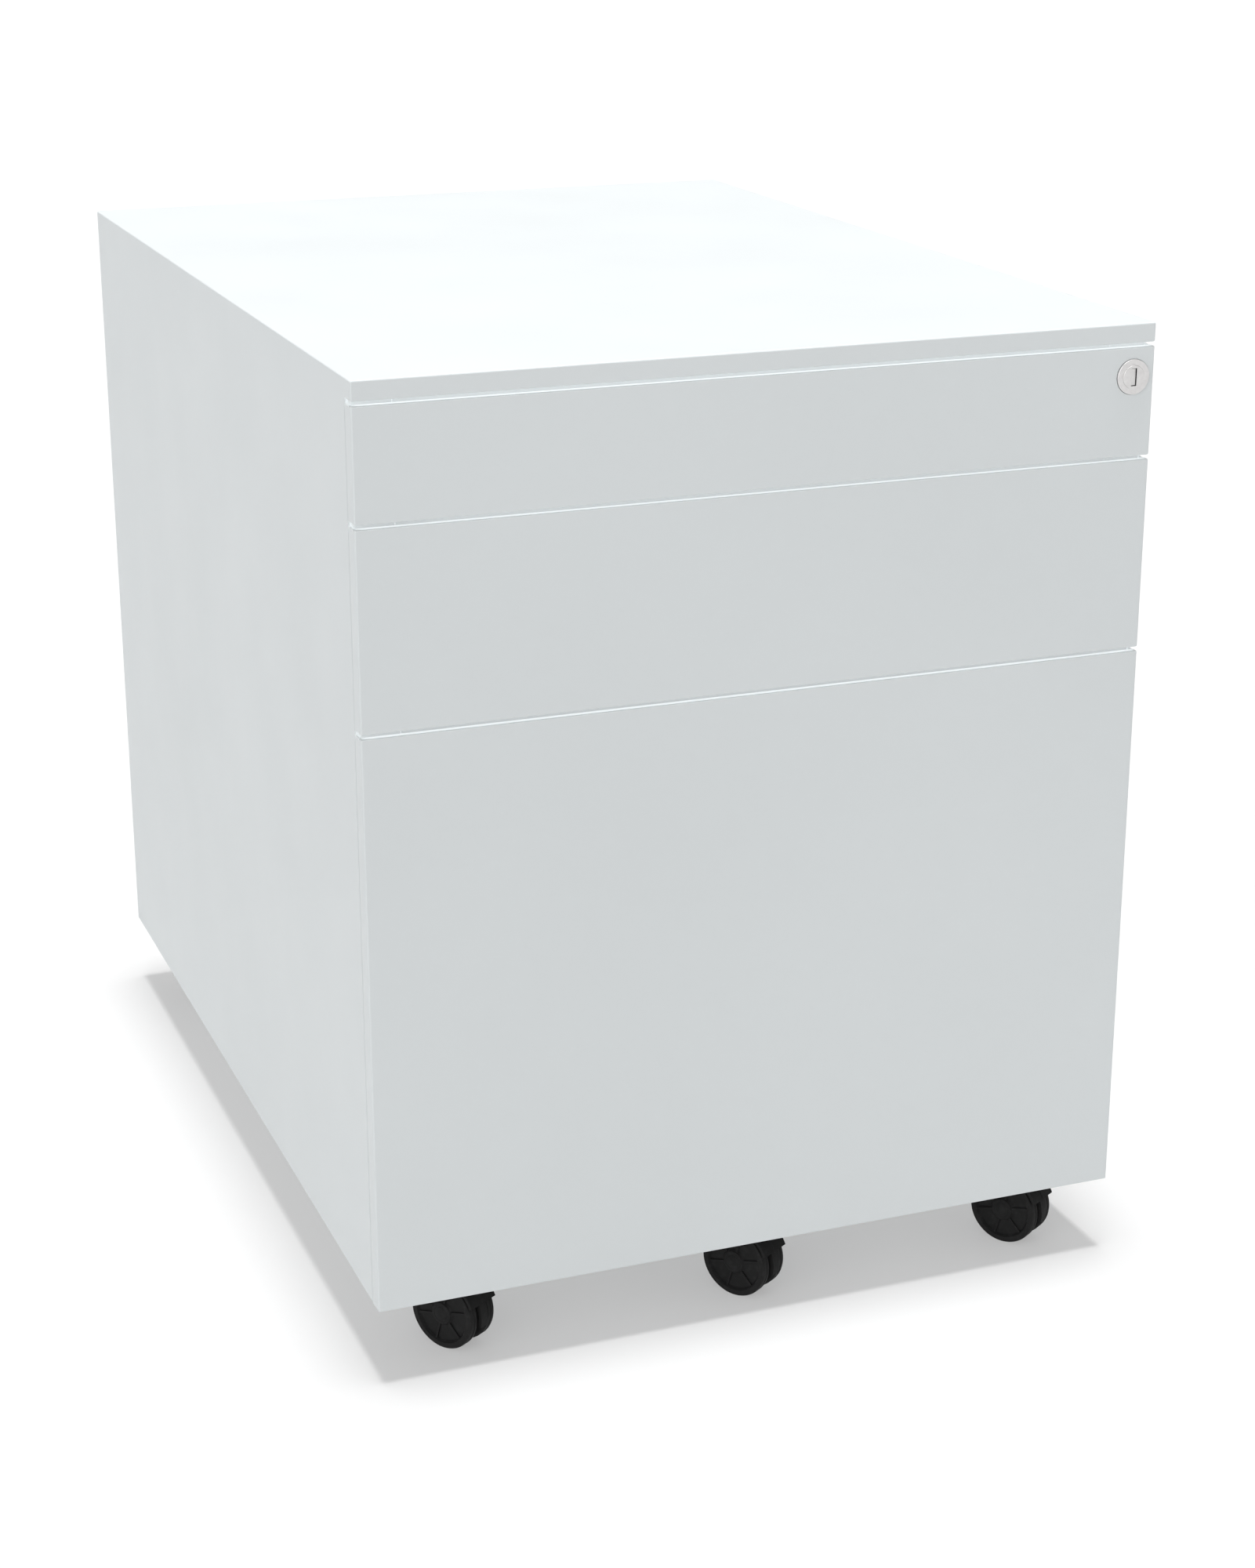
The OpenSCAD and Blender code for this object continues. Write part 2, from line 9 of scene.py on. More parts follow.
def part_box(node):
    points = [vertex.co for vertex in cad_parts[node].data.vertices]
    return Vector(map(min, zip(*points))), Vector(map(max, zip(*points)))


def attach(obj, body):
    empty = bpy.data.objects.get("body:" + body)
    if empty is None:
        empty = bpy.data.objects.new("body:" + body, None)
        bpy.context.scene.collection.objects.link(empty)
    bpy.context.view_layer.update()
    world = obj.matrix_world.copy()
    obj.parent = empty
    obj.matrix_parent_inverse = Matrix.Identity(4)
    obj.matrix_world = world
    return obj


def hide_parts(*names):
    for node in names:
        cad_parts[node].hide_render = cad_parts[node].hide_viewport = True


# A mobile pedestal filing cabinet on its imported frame. Lengths in metres, fronts face -Y, +Z is up.
# Every place comes from the frame's boxes and joints; the constants below are local details.

MM = 0.001

# Sheet steel
SHEET = 1.0 * MM
BEND = 0.9 * MM
BEND_STEPS = 4
SOFT_EDGE = 0.3 * MM
SHARP_ANGLE = math.radians(32)

# Body
STRIP_H = 10 * MM
SKIN_HEM = 3 * MM
PRESSED_BORDER = 34 * MM
PRESSED_SLOPE = 4 * MM
PRESSED_DEPTH = 2 * MM

# Drawers
TRAY_HEM = 6 * MM
TRAY_LIP = 4 * MM
BEAD_HALF_W = 7 * MM
BEAD_H = 1.6 * MM

# Runners
RUNNER_STEEL = 1.2 * MM
RUNNER_LIP = 2.4 * MM
RUNNER_BEND = 1.6 * MM

# Posts
POST_PITCH = 25 * MM
POST_DEPTH = 32 * MM

# Castors
WHEEL_HALF_GAP = 3.5 * MM
WHEEL_OUT = 10 * MM
HOOD_IN = 21 * MM
HOOD_OUT = 22.8 * MM
BOSS_R = 8.5 * MM
BOSS_TOP = 55.5 * MM
STUD_BORE_R = 4.05 * MM
AXLE_R = 2.5 * MM
HUB_CAP = 1.5 * MM

# Painted light: a glow given to the coat inside the gaps around the fronts, which keeps them pale
GAP_REACH = 2.5 * MM
GAP_LIGHT_LEVEL = 0.36
GAP_LIGHT_UP = 0.58

# Camera and light, set up for the view of the photograph
CAMERA_AZIMUTH = math.radians(-20.947)
CAMERA_ELEVATION = math.radians(19.096)
CAMERA_DISTANCE = 1.7365
CAMERA_AIM = Vector((0.0233, -0.0336, 0.2144))
CAMERA_LENS = 67.29
SENSOR_LONG_SIDE = 36.0
SKY_STRENGTH = 0.5
OVERHEAD_ANGLE = math.radians(11)
OVERHEAD_STRENGTH = 3.45
FILL_AZIMUTH = math.radians(-48)
FILL_ELEVATION = math.radians(15)
FILL_ANGLE = math.radians(60)
FILL_STRENGTH = 1.36
FLOOR_HALF = 40.0

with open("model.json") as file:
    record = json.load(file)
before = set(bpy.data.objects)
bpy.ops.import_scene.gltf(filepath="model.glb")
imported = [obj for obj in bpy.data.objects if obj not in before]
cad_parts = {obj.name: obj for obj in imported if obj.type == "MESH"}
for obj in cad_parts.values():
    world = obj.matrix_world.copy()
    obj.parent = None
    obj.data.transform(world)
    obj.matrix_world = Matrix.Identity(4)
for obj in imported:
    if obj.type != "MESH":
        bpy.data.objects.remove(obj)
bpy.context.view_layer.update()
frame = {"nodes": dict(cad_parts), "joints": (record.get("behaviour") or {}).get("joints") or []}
joints = {joint["name"]: joint for joint in frame["joints"]}

LOCK_AXIS = Vector(joints["lock_turn"]["pos_m"])
SKIN_FRONT_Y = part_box("base_plate")[0].y - SHEET
GAPS_Z = [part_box(node)[1].z for node in ("pen_front", "box_front", "file_front")]
GAP_BACK_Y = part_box("base_plate")[0].y + 2 * MM


# ---------- mesh helpers ----------

def at(axis, along, u, v):
    """The point with this coordinate along an axis and u, v on the other two, in order."""
    return {"X": (along, u, v), "Y": (u, along, v), "Z": (u, v, along)}[axis]


def add_prism(bm, axis, outline, lo, hi):
    """Adds a closed outline, given as (u, v) points, drawn out along an axis."""
    ends = [[bm.verts.new(at(axis, along, u, v)) for u, v in outline] for along in (lo, hi)]
    faces = [bm.faces.new(ends[0]), bm.faces.new(ends[1])]
    count = len(outline)
    for i in range(count):
        j = (i + 1) % count
        faces.append(bm.faces.new((ends[0][i], ends[0][j], ends[1][j], ends[1][i])))
    return faces


def add_lathe(bm, axis, centre, profile, start=0.0, turn=math.tau, steps=48, closed=False):
    """Turns (along, radius) points about an axis through centre. A closed profile makes a ring."""
    whole = turn > math.tau - 1e-6
    rings = []
    for i in range(steps if whole else steps + 1):
        angle = start + turn * i / steps
        c, s = math.cos(angle), math.sin(angle)
        rings.append([bm.verts.new(at(axis, a, centre[0] + r * c, centre[1] + r * s))
                      for a, r in profile])
    count = len(profile)
    for i in range(steps):
        here, there = rings[i], rings[(i + 1) % len(rings)]
        for j in range(count if closed else count - 1):
            k = (j + 1) % count
            bm.faces.new((here[j], here[k], there[k], there[j]))
    if closed and not whole:
        bm.faces.new(rings[0])
        bm.faces.new(rings[-1])
    bmesh.ops.remove_doubles(bm, verts=[v for ring in rings for v in ring], dist=1e-7)


def add_rod(bm, axis, centre, ends, radius, steps=48):
    """Adds a plain cylinder along an axis, from ends[0] to ends[1]."""
    profile = [(ends[0], 0), (ends[0], radius), (ends[1], radius), (ends[1], 0)]
    add_lathe(bm, axis, centre, profile, steps=steps)


def add_block(bm, lo, hi, edge=0.0, steps=2):
    """Adds a block between two corners, with its edges rounded."""
    made = bmesh.ops.create_cube(bm, size=1)["verts"]
    lo, hi = Vector(lo), Vector(hi)
    for vert in made:
        vert.co = Vector(lo[i] + (vert.co[i] + 0.5) * (hi[i] - lo[i]) for i in range(3))
    if edge:
        edges = list(dict.fromkeys(e for vert in made for e in vert.link_edges))
        bmesh.ops.bevel(bm, geom=edges, offset=edge, segments=steps, profile=0.5, affect="EDGES")


def rounded_slot(u, v, half_u, half_v, steps=6):
    """Outline of a slot whose shorter sides are half circles, about (u, v)."""
    r = min(half_u, half_v)
    points = []
    for corner in range(4):
        sign_u = 1 if corner in (0, 3) else -1
        sign_v = 1 if corner in (0, 1) else -1
        for i in range(steps + 1):
            angle = (corner + i / steps) * math.pi / 2
            points.append((u + sign_u * (half_u - r) + r * math.cos(angle),
                           v + sign_v * (half_v - r) + r * math.sin(angle)))
    return points


def add_bead(bm, x, y, z, half_w=BEAD_HALF_W, height=BEAD_H):
    """Adds a pressed rib along X, from x[0] to x[1], standing up from a floor at z."""
    across = 8
    fade = [0.0, 0.35, 0.7, 0.93, 1.0]
    stops = [x[0] + half_w * 1.6 * i / (len(fade) - 1) for i in range(len(fade))]
    stations = list(zip(stops, fade))
    stations += [(x[0] + x[1] - stop, share) for stop, share in reversed(stations)]
    rows = []
    for along, share in stations:
        row = []
        for i in range(across + 1):
            t = 2 * i / across - 1
            rise = math.cos(t * math.pi / 2) ** 2
            row.append(bm.verts.new((along, y + t * half_w, z - 0.05 * MM + height * share * rise)))
        rows.append(row)
    for here, there in zip(rows, rows[1:]):
        for i in range(across):
            bm.faces.new((here[i], there[i], there[i + 1], here[i + 1]))


def smooth(made):
    """Smooth shading that stays flat on large faces, with sharp edges where the surface turns hard."""
    made.data.shade_smooth()
    made.data.set_sharp_from_angle(angle=SHARP_ANGLE)
    weigh = made.modifiers.new("flat faces", "WEIGHTED_NORMAL")
    weigh.weight = 100
    weigh.keep_sharp = True
    apply_modifiers(made)


def loose_object(name, bm):
    """A Blender object that holds bm's mesh, before it becomes a piece."""
    mesh = bpy.data.meshes.new(name)
    bm.to_mesh(mesh)
    bm.free()
    made = bpy.data.objects.new(name, mesh)
    bpy.context.scene.collection.objects.link(made)
    return made


def apply_modifiers(made):
    """Replaces an object's mesh by what its modifiers make of it."""
    graph = bpy.context.evaluated_depsgraph_get()
    mesh = bpy.data.meshes.new_from_object(made.evaluated_get(graph))
    made.modifiers.clear()
    made.data = mesh


def cut(made, cutter_bm, crossing=False):
    """Cuts the shapes in cutter_bm out of an object. Shapes that run into each other are crossing."""
    bmesh.ops.recalc_face_normals(cutter_bm, faces=cutter_bm.faces)
    cutter = loose_object("cutter", cutter_bm)
    boolean = made.modifiers.new("cut", "BOOLEAN")
    boolean.operation = "DIFFERENCE"
    boolean.solver = "EXACT"
    boolean.use_self = crossing
    boolean.object = cutter
    apply_modifiers(made)
    bpy.data.objects.remove(cutter)


def folded(name, polygons, sheet=SHEET, bend=BEND):
    """Sheet metal whose outer side is the given flat polygons, with rounded folds where they meet.
    The first polygon runs anticlockwise as seen from outside."""
    bm = bmesh.new()
    for polygon in polygons:
        bm.faces.new([bm.verts.new(point) for point in polygon])
    bm.faces.ensure_lookup_table()
    bm.faces[0].normal_update()
    outward = bm.faces[0].normal.copy()
    bmesh.ops.remove_doubles(bm, verts=bm.verts, dist=1e-6)
    bmesh.ops.recalc_face_normals(bm, faces=bm.faces)
    bm.faces.ensure_lookup_table()
    if bm.faces[0].normal.dot(outward) < 0:
        bmesh.ops.reverse_faces(bm, faces=bm.faces)
    folds = [e for e in bm.edges if len(e.link_faces) == 2 and e.calc_face_angle() > 0.1]
    bmesh.ops.bevel(bm, geom=folds, offset=bend, offset_type="OFFSET", segments=BEND_STEPS,
                    profile=0.5, affect="EDGES", clamp_overlap=True)
    made = loose_object(name, bm)
    solidify = made.modifiers.new("sheet", "SOLIDIFY")
    solidify.thickness = sheet
    solidify.offset = -1
    solidify.use_even_offset = True
    apply_modifiers(made)
    return made


def add_to(made, bm):
    """Adds the shapes in bm to an object's mesh."""
    bmesh.ops.recalc_face_normals(bm, faces=bm.faces)
    bm.from_mesh(made.data)
    bm.to_mesh(made.data)
    bm.free()


def piece(made, body, look, *nodes):
    """Makes an object a piece that rides on a body and stands for CAD nodes."""
    smooth(made)
    made.data.materials.clear()
    made.data.materials.append(look["material"])
    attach(made, body)
    if nodes:
        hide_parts(*nodes)
    return made


def solid_piece(name, bm, body, look, *nodes):
    """Makes a piece from closed shapes in bm."""
    bmesh.ops.recalc_face_normals(bm, faces=bm.faces)
    return piece(loose_object(name, bm), body, look, *nodes)


def soften(made, width):
    """Gives an object a modifier that rounds its sharp edges."""
    bevel = made.modifiers.new("soft edges", "BEVEL")
    bevel.width = width
    bevel.segments = 2
    bevel.limit_method = "ANGLE"
    bevel.angle_limit = math.radians(50)


def carry_over(node, look):
    """Keeps a CAD node, with a finished material and softened edges."""
    made = frame["nodes"][node]
    made.data.materials.clear()
    made.data.materials.append(look["material"])
    soften(made, SOFT_EDGE)


def rect(axis, along, u, v):
    """The four corners of a rectangle across an axis, from u[0] to u[1] and v[0] to v[1]."""
    return [at(axis, along, a, b) for a, b in ((u[0], v[0]), (u[1], v[0]), (u[1], v[1]), (u[0], v[1]))]


def mirrored(polygons):
    """The same polygons on the other side of the YZ plane."""
    return [[(-x, y, z) for x, y, z in reversed(polygon)] for polygon in polygons]


# ---------- materials ----------

def add_node(tree, kind, settings=None, **inputs):
    """Adds a shader node. Input names have _ for a space; a value is a socket to link or a constant."""
    made = tree.nodes.new("ShaderNode" + kind)
    for key, value in (settings or {}).items():
        setattr(made, key, value)
    for key, value in inputs.items():
        socket = made.inputs[key.replace("_", " ")]
        if isinstance(value, bpy.types.NodeSocket):
            tree.links.new(value, socket)
        else:
            socket.default_value = value
    return made


def surface(name):
    """A new material's node tree, its principled shader and its object coordinates."""
    material = bpy.data.materials.new(name)
    material.use_nodes = True
    tree = material.node_tree
    shader = tree.nodes["Principled BSDF"]
    place = tree.nodes.new("ShaderNodeTexCoord").outputs["Object"]
    return material, tree, shader, place


def noise(tree, place, scale, detail=2.0, stretch=(1, 1, 1)):
    """Noise with about scale features to a metre, drawn out where stretch is below 1."""
    if stretch != (1, 1, 1):
        place = add_node(tree, "Mapping", Vector=place, Scale=stretch).outputs["Vector"]
    return add_node(tree, "TexNoise", Vector=place, Scale=scale, Detail=detail).outputs["Fac"]


def spread(tree, value, low, high, source=(0.3, 0.7)):
    """Value, which runs over source, spread from low to high."""
    made = add_node(tree, "MapRange", Value=value)
    made.inputs["From Min"].default_value, made.inputs["From Max"].default_value = source
    made.inputs["To Min"].default_value, made.inputs["To Max"].default_value = low, high
    return made.outputs["Result"]


def calc(tree, operation, *values):
    """The result of a Math node on sockets or constants."""
    made = add_node(tree, "Math", {"operation": operation})
    for socket, value in zip(made.inputs, values):
        if isinstance(value, bpy.types.NodeSocket):
            tree.links.new(value, socket)
        else:
            socket.default_value = value
    return made.outputs["Value"]


def tones(tree, value, dark, light, source=(0.3, 0.7)):
    """A colour between dark and light."""
    ramp = tree.nodes.new("ShaderNodeValToRGB")
    tree.links.new(value, ramp.inputs["Fac"])
    ramp.color_ramp.elements[0].position, ramp.color_ramp.elements[1].position = source
    ramp.color_ramp.elements[0].color = (*dark, 1)
    ramp.color_ramp.elements[1].color = (*light, 1)
    return ramp.outputs["Color"]


def bumped(tree, shader, height, depth, strength=1.0, below=None):
    """Bends the shader's normal by a height, in metres at full value."""
    bump = add_node(tree, "Bump", Height=height, Distance=depth, Strength=strength)
    if below is not None:
        tree.links.new(below, bump.inputs["Normal"])
    tree.links.new(bump.outputs["Normal"], shader.inputs["Normal"])
    return bump.outputs["Normal"]


def painted_gap_glow(tree, shader, place):
    """Painted light: keeps the narrow gaps around the drawer fronts light by letting parts that look out of
    a gap glow, upward faces more, and less the more open they stand."""
    axes = add_node(tree, "SeparateXYZ", Vector=place)
    mask = spread(tree, axes.outputs["Y"], 1, 0, (GAP_BACK_Y - MM, GAP_BACK_Y))
    bands = []
    for gap_z in GAPS_Z:
        away = calc(tree, "ABSOLUTE", calc(tree, "SUBTRACT", axes.outputs["Z"], gap_z))
        bands.append(spread(tree, away, 1, 0, (GAP_REACH, GAP_REACH + MM)))
    normal = tree.nodes.new("ShaderNodeNewGeometry").outputs["Normal"]
    up = spread(tree, add_node(tree, "SeparateXYZ", Vector=normal).outputs["Z"], GAP_LIGHT_LEVEL,
                GAP_LIGHT_UP, (0.3, 0.8))
    open_share = add_node(tree, "AmbientOcclusion", {"samples": 6}, Distance=20 * MM).outputs["AO"]
    shut_share = spread(tree, open_share, 1, 0, (0.25, 0.6))
    band = calc(tree, "MAXIMUM", calc(tree, "MAXIMUM", *bands[:2]), bands[2])
    amount = calc(tree, "MULTIPLY", mask, band)
    amount = calc(tree, "MULTIPLY", amount, calc(tree, "MULTIPLY", up, shut_share))
    tree.links.new(amount, shader.inputs["Emission Strength"])
    shader.inputs["Emission Color"].default_value = (0.95, 0.99, 1.0, 1)


def powder_coat(name, colour):
    """Near-white powder coat: fine orange peel, a slow drift of tone and slightly uneven sheen."""
    material, tree, shader, place = surface(name)
    dark = [channel * 0.985 for channel in colour]
    light = [min(1, channel * 1.012) for channel in colour]
    shader.inputs["Base Color"].default_value = (*colour, 1)
    tree.links.new(tones(tree, noise(tree, place, 4.0, 3), dark, light), shader.inputs["Base Color"])
    peel = noise(tree, place, 620, 1)
    handled = noise(tree, place, 14, 4)
    tree.links.new(spread(tree, handled, 0.44, 0.54), shader.inputs["Roughness"])
    grit = bumped(tree, shader, noise(tree, place, 2600, 0), 0.006 * MM)
    bumped(tree, shader, peel, 0.03 * MM, below=grit)
    shader.inputs["Specular IOR Level"].default_value = 0.4
    # Painted light: the coat glows a little where it looks out of the gaps around the fronts.
    painted_gap_glow(tree, shader, place)
    return material


def zinc_plate(name):
    """Zinc plated steel: drawn along Y, with soft spangle and brighter rubbed streaks."""
    material, tree, shader, place = surface(name)
    spangle = add_node(tree, "TexVoronoi", Vector=place, Scale=190.0).outputs["Color"]
    grey = add_node(tree, "RGBToBW", Color=spangle).outputs["Val"]
    tree.links.new(tones(tree, grey, (0.50, 0.51, 0.53), (0.60, 0.61, 0.62), (0.1, 0.9)),
                   shader.inputs["Base Color"])
    drawn = noise(tree, place, 900, 2, (1, 0.02, 1))
    tree.links.new(spread(tree, drawn, 0.28, 0.46), shader.inputs["Roughness"])
    shader.inputs["Metallic"].default_value = 1.0
    bumped(tree, shader, drawn, 0.012 * MM)
    return material


def satin_nickel(name, axis_point):
    """Nickel plated brass, turned on a lathe: rings about the lock's axis."""
    material, tree, shader, place = surface(name)
    centred = add_node(tree, "Mapping", Vector=place, Location=(-axis_point[0], 0, -axis_point[2]))
    flat = add_node(tree, "VectorMath", {"operation": "MULTIPLY"}, Vector=centred.outputs["Vector"])
    flat.inputs[1].default_value = (1, 0, 1)
    radius = add_node(tree, "VectorMath", {"operation": "LENGTH"}, Vector=flat.outputs["Vector"])
    rings = add_node(tree, "TexNoise", {"noise_dimensions": "1D"}, Scale=9000.0, Detail=1.0)
    tree.links.new(radius.outputs["Value"], rings.inputs["W"])
    cloud = noise(tree, place, 500, 2)
    tree.links.new(tones(tree, cloud, (0.68, 0.67, 0.665), (0.74, 0.73, 0.725)), shader.inputs["Base Color"])
    tree.links.new(spread(tree, rings.outputs["Fac"], 0.34, 0.48), shader.inputs["Roughness"])
    shader.inputs["Metallic"].default_value = 0.9
    bumped(tree, shader, rings.outputs["Fac"], 0.004 * MM)
    return material


def moulded_plastic(name, colour, grain, rough, depth=0.02 * MM):
    """Moulded plastic with an eroded grain, so many grains to a metre, and faint flow clouds."""
    material, tree, shader, place = surface(name)
    dark = [channel * 0.8 for channel in colour]
    light = [channel * 1.25 for channel in colour]
    tree.links.new(tones(tree, noise(tree, place, 45, 3), dark, light), shader.inputs["Base Color"])
    eroded = noise(tree, place, grain, 2)
    tree.links.new(spread(tree, eroded, rough - 0.05, rough + 0.08), shader.inputs["Roughness"])
    shader.inputs["Specular IOR Level"].default_value = 0.1
    bumped(tree, shader, eroded, depth)
    return material


def rolled_tread(name, colour):
    """Hard wheel plastic, scuffed lighter in broken bands where it meets the floor."""
    material, tree, shader, place = surface(name)
    scuffs = noise(tree, place, 260, 4)
    light = [channel * 1.9 for channel in colour]
    tree.links.new(tones(tree, scuffs, colour, light, (0.5, 0.85)), shader.inputs["Base Color"])
    tree.links.new(spread(tree, scuffs, 0.42, 0.62), shader.inputs["Roughness"])
    shader.inputs["Specular IOR Level"].default_value = 0.1
    bumped(tree, shader, noise(tree, place, 1500, 2), 0.015 * MM)
    return material


def plain_floor():
    """Pale floor that keeps some light of its own, so that shadows on it stay soft."""
    material, tree, shader, place = surface("floor_paint")
    tree.links.new(tones(tree, noise(tree, place, 3, 2), (0.405, 0.405, 0.405), (0.415, 0.415, 0.415)),
                   shader.inputs["Base Color"])
    shader.inputs["Roughness"].default_value = 0.9
    shader.inputs["Specular IOR Level"].default_value = 0.0
    shader.inputs["Emission Color"].default_value = (1, 1, 1, 1)
    shader.inputs["Emission Strength"].default_value = 0.35
    return material


COAT = {"slot": "powder_coat", "material": powder_coat("coat", (0.60, 0.628, 0.636))}
# Painted light: the inner parts get a lighter copy of the same powder coat, which keeps the rails and posts
# seen through the gaps, and the trays, pale.
LIGHTENED_COAT = {"slot": "powder_coat", "material": powder_coat("inner_coat_lightened", (0.66, 0.685, 0.692))}
ZINC = {"slot": "zinc_steel", "material": zinc_plate("zinc")}
NICKEL = {"slot": "lock_nickel", "material": satin_nickel("nickel", LOCK_AXIS)}
CASTOR_BLACK = {"slot": "castor_plastic",
                "material": moulded_plastic("castor_black", (0.013, 0.013, 0.013), 1400, 0.6)}
WHEEL_BLACK = {"slot": "wheel_plastic", "material": rolled_tread("wheel_black", (0.0125, 0.0125, 0.0125))}
INSERT_GREY = {"slot": "insert_plastic",
               "material": moulded_plastic("insert_grey", (0.045, 0.048, 0.052), 900, 0.42, 0.03 * MM)}


# ---------- carcass ----------

def build_wrapper():
    """Top, strip above the drawers and both side skins with their front flanges and lower hems."""
    (x0, y0, low), (x1, y1, top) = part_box("wrapper")
    lip_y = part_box("rail_top")[0].y
    strip = top - STRIP_H
    flange_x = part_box("front_post_l")[1].x - SHEET
    left = [
        [(x0, y0, top), (x0, y1, top), (x0, y1, low), (x0, SKIN_FRONT_Y, low), (x0, SKIN_FRONT_Y, strip),
         (x0, lip_y, strip), (x0, y0, strip)],
        rect("Y", SKIN_FRONT_Y, (x0, flange_x), (low, strip)),
        rect("Z", low, (x0, x0 + SKIN_HEM), (SKIN_FRONT_Y, y1)),
    ]
    lid = [
        rect("Z", top, (x0, x1), (y0, y1)),
        rect("Y", y0, (x0, x1), (strip, top)),
        rect("Z", strip, (x0, x1), (y0, lip_y)),
    ]
    made = folded("cabinet_wrapper", lid + left + mirrored(left))
    hole = bmesh.new()
    add_rod(hole, "Y", (LOCK_AXIS.x, LOCK_AXIS.z), (SKIN_FRONT_Y - BEND, SKIN_FRONT_Y + 2 * BEND), 8.5 * MM)
    cut(made, hole)
    piece(made, "carcass", COAT, "wrapper")


def build_back_panel():
    """Back sheet with a pressed field, folded edges at the top and bottom, and screws up the sides."""
    (x0, y0, z0), (x1, y1, z1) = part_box("back_panel")

    def ring(inset, depth):
        """The corners of the sheet's rectangle, drawn in and pressed in by these."""
        return [(x0 + inset, y1 - depth, z0 + inset), (x1 - inset, y1 - depth, z0 + inset),
                (x1 - inset, y1 - depth, z1 - inset), (x0 + inset, y1 - depth, z1 - inset)]

    rings = [ring(0, 0), ring(PRESSED_BORDER, 0), ring(PRESSED_BORDER + PRESSED_SLOPE, PRESSED_DEPTH)]
    polygons = [list(reversed(rings[-1]))]
    for outer, inner in zip(rings, rings[1:]):
        for i in range(4):
            j = (i + 1) % 4
            polygons.append([outer[i], outer[j], inner[j], inner[i]])
    polygons += [rect("Z", z, (x0, x1), (y0, y1)) for z in (z0, z1)]
    piece(folded("back_sheet", polygons), "carcass", COAT, "back_panel")

    screws = bmesh.new()
    count = 5
    for side in (-1, 1):
        for i in range(count):
            z = z0 + PRESSED_BORDER / 2 + (z1 - z0 - PRESSED_BORDER) * i / (count - 1)
            add_screw(screws, "Y", (side * (x1 - PRESSED_BORDER / 2), z), y1, 1)
    solid_piece("back_screws", screws, "carcass", ZINC)


def add_screw(bm, axis, centre, face, way, head_r=3.6 * MM):
    """Adds a domed screw head with a hexagon socket, standing on a face and pointing way along an axis."""
    height = head_r * 0.5
    socket = head_r * 0.45
    dome = [(0, 1.0), (0.45, 0.97), (0.8, 0.82), (1.0, 0.55)]
    profile = [(face + way * height * h, head_r * r) for h, r in dome]
    profile = [(face - way * 0.3 * MM, 0)] + profile
    profile += [(face + way * height, socket), (face + way * height * 0.35, socket),
                (face + way * height * 0.3, 0)]
    add_lathe(bm, axis, centre, profile, steps=18)


def add_post_slots(bm, x, y, z0, z1):
    """Adds cutters for a column of upright slots through a post's web at x."""
    for row in range(int((z1 - z0) / POST_PITCH) - 1):
        outline = rounded_slot(y, z0 + POST_PITCH * (row + 1), 2 * MM, 5 * MM)
        add_prism(bm, "X", outline, x - 3 * MM, x + 3 * MM)


def build_front_posts():
    """Channels behind the edges of the fronts, with rows of slots for the runners' hooks."""
    (x0, y0, z0), (x1, _, z1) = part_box("front_post_l")
    web_y = y0 + POST_DEPTH
    for body_side, node in ((-1, "front_post_l"), (1, "front_post_r")):
        polygons = [
            rect("Y", y0, (x0, x1), (z0, z1)),
            rect("X", x0, (y0, SKIN_FRONT_Y), (z0, z1)),
            rect("X", x1, (y0, web_y), (z0, z1)),
        ]
        if body_side == 1:
            polygons = mirrored(polygons)
        made = folded(node + "_channel", polygons)
        slots = bmesh.new()
        add_post_slots(slots, x1 * -body_side, y0 + 22 * MM, z0, z1)
        if body_side == 1:
            add_rod(slots, "Y", (LOCK_AXIS.x, LOCK_AXIS.z), (y0 - MM, y0 + 3 * MM), 8.2 * MM)
        cut(made, slots)
        piece(made, "carcass", LIGHTENED_COAT, node)


def build_bar_guides():
    """Bent tabs on the right post that keep the locking bar upright."""
    bar_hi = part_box("lock_bar")[1]
    post_lo, post_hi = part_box("front_post_r")
    guides = bmesh.new()
    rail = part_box("rail_lower")[1].z
    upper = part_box("rail_upper")[0].z
    back = post_hi.y
    for z in (rail - 43 * MM, upper - 20 * MM):
        add_block(guides, (post_lo.x, back - 14 * MM, z), (post_lo.x + SHEET, back, z + 10 * MM), 0.2 * MM)
        add_block(guides, (post_lo.x, back - SHEET, z), (bar_hi.x, back, z + 10 * MM), 0.2 * MM)
    solid_piece("bar_guides", guides, "carcass", LIGHTENED_COAT)


def build_rear_posts():
    """Angles at the back of the side skins, with slots for the rear ends of the runners."""
    lo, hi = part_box("rear_post_l")
    x_web, x_skin = hi.x, lo.x + SHEET
    flange_y = lo.y + POST_DEPTH
    polygons = [
        rect("X", x_web, (lo.y, flange_y), (lo.z, hi.z)),
        rect("Y", flange_y, (x_skin, x_web), (lo.z, hi.z)),
        rect("X", x_skin, (flange_y, hi.y), (lo.z, hi.z)),
    ]
    for body_side, node in ((-1, "rear_post_l"), (1, "rear_post_r")):
        made = folded(node + "_angle", polygons if body_side == -1 else mirrored(polygons))
        slots = bmesh.new()
        add_post_slots(slots, x_web * -body_side, lo.y + 12 * MM, lo.z, hi.z)
        cut(made, slots)
        piece(made, "carcass", LIGHTENED_COAT, node)


def build_rails():
    """Channels between the posts, open to the back."""
    for node in ("rail_top", "rail_upper", "rail_lower"):
        (x0, y0, z0), (x1, y1, z1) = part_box(node)
        polygons = [
            rect("Y", y0, (x0, x1), (z0, z1)),
            rect("Z", z0, (x0, x1), (y0, y1)),
            rect("Z", z1, (x0, x1), (y0, y1)),
        ]
        piece(folded(node + "_channel", polygons), "carcass", LIGHTENED_COAT, node)


